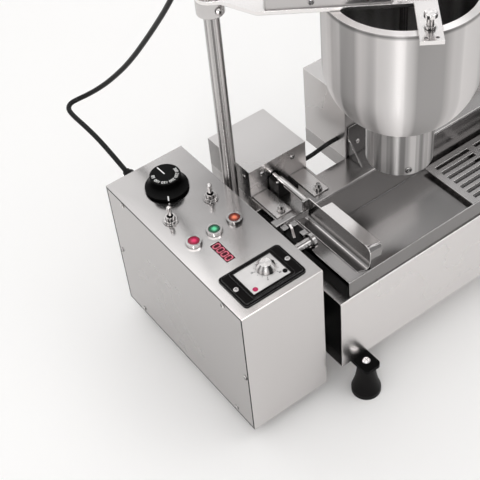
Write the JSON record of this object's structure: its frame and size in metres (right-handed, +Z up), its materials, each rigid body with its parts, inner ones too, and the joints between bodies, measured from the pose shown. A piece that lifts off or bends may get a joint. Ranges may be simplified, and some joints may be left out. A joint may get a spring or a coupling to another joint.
{
  "type": "mini donut machine",
  "caption": "Automatic mini donut fryer: batter hopper on a post over a long oil pan with pusher, turning and lifting grids, exit chute and a side control box with timer and thermostat.",
  "frame": {"origin": "on the floor under the middle of the machine without its free cable", "axes": "+X along the oil pan from the control box to the exit chute, +Y to the back, +Z up"},
  "size_m": [1.043, 0.5029, 0.618],
  "materials": {
    "steel": "satin",
    "hopper_steel": "polished",
    "bright_fastener": "bright",
    "black_sheet": "matt",
    "rubber": "matt",
    "black_plastic": "matt",
    "black_gloss": "gloss",
    "silver_face": "satin",
    "motor_grey": "satin",
    "lens_red": "gloss",
    "lens_green": "gloss",
    "lens_amber": "gloss",
    "counter_red": "gloss",
    "cable_black": "satin"
  },
  "bodies": {
    "machine": {"tank_casing": "steel", "casing_end_panel": "black_sheet", "oil_pan": "steel", "pan_supports": "steel", "deck": "steel", "foot_brackets": "black_sheet", "rubber_feet": "rubber", "post_base": "steel", "base_bolts": "bright_fastener", "control_box": "steel", "box_chassis": "steel", "side_panel": "steel", "box_feet": "rubber", "box_spacers": "steel", "cable_glands": "black_plastic", "thermostat_body": "black_plastic", "toggle_bodies": "bright_fastener", "toggle_nuts": "bright_fastener", "lamp_bezels": "bright_fastener", "lamp_red": "lens_red", "lamp_green": "lens_green", "lamp_amber": "lens_amber", "counter": "counter_red", "timer_frame": "black_plastic", "timer_face": "silver_face", "post": "steel", "clamp_collar": "steel", "arm_plate": "steel", "crossbar": "steel", "head_bracket": "steel", "head_cover": "steel", "head_motor": "motor_grey", "hopper_bowl": "hopper_steel", "hopper_neck": "hopper_steel", "set_screws": "bright_fastener", "drive_covers": "steel", "drive_motors": "motor_grey", "drive_studs": "bright_fastener", "pusher_bearing": "black_plastic", "grid_bearings": "steel", "terminal_box": "steel", "terminal_bracket": "steel", "link_cable": "cable_black", "head_cable": "cable_black", "sensor_conduit": "steel", "sensor_clip": "black_plastic", "exit_chute": "steel", "cover_screws": "bright_fastener"},
    "thermostat": {"thermostat_knob": "black_gloss"},
    "timer": {"timer_knob": "silver_face"},
    "toggle_left": {"toggle_lever_left": "bright_fastener"},
    "toggle_right": {"toggle_lever_right": "bright_fastener"},
    "pusher": {"pusher_shaft": "steel", "pusher_blade": "steel"},
    "turner": {"turning_grid": "steel"},
    "lifter": {"lifting_grid": "steel"},
    "rocker": {"rocker_lever": "steel"},
    "plunger": {"plunger": "steel"},
    "thumb_front": {"thumb_screw_front": "bright_fastener"},
    "thumb_back": {"thumb_screw_back": "bright_fastener"}
  },
  "joints": [
    {"name": "thermostat_turn", "type": "hinge", "parent": "machine", "child": "thermostat", "pos_m": [-0.46, 0.1095, 0.26], "axis": [0, 0, -1], "range_deg": [0, 300]},
    {"name": "timer_turn", "type": "hinge", "parent": "machine", "child": "timer", "pos_m": [-0.451, -0.0908, 0.25], "axis": [0, 0, -1], "range_deg": [0, 300]},
    {"name": "toggle_left_flip", "type": "hinge", "parent": "machine", "child": "toggle_left", "pos_m": [-0.491, 0.0545, 0.246], "axis": [1, 0, 0], "range_deg": [-12, 12]},
    {"name": "toggle_right_flip", "type": "hinge", "parent": "machine", "child": "toggle_right", "pos_m": [-0.429, 0.0545, 0.246], "axis": [1, 0, 0], "range_deg": [-12, 12]},
    {"name": "pusher_swing", "type": "hinge", "parent": "machine", "child": "pusher", "pos_m": [-0.3325, -0.03, 0.232], "axis": [0, -1, 0], "range_deg": [0, 75]},
    {"name": "turner_swing", "type": "hinge", "parent": "machine", "child": "turner", "pos_m": [0.059, -0.08, 0.232], "axis": [0, 1, 0], "range_deg": [0, 110]},
    {"name": "lifter_swing", "type": "hinge", "parent": "machine", "child": "lifter", "pos_m": [0.33, -0.08, 0.232], "axis": [0, 1, 0], "range_deg": [0, 110]},
    {"name": "rocker_swing", "type": "hinge", "parent": "machine", "child": "rocker", "pos_m": [-0.26755, -0.01741, 0.575], "axis": [-0.6084, -0.7936, 0], "range_deg": [-15, 15]},
    {"name": "plunger_slide", "type": "slide", "parent": "machine", "child": "plunger", "axis": [0, 0, 1], "range_m": [-0.0184, 0.0184]},
    {"name": "thumb_front_turn", "type": "hinge", "parent": "machine", "child": "thumb_front", "pos_m": [-0.25044, -0.14138, 0.53], "axis": [0, 0, 1], "range_deg": [-180, 180]},
    {"name": "thumb_back_turn", "type": "hinge", "parent": "machine", "child": "thumb_back", "pos_m": [-0.1434, -0.00174, 0.53], "axis": [0, 0, 1], "range_deg": [-180, 180]}
  ],
  "couplings": [
    {"joint": "plunger_slide", "follows": "rocker_swing", "m_per_rad": 0.07}
  ]
}
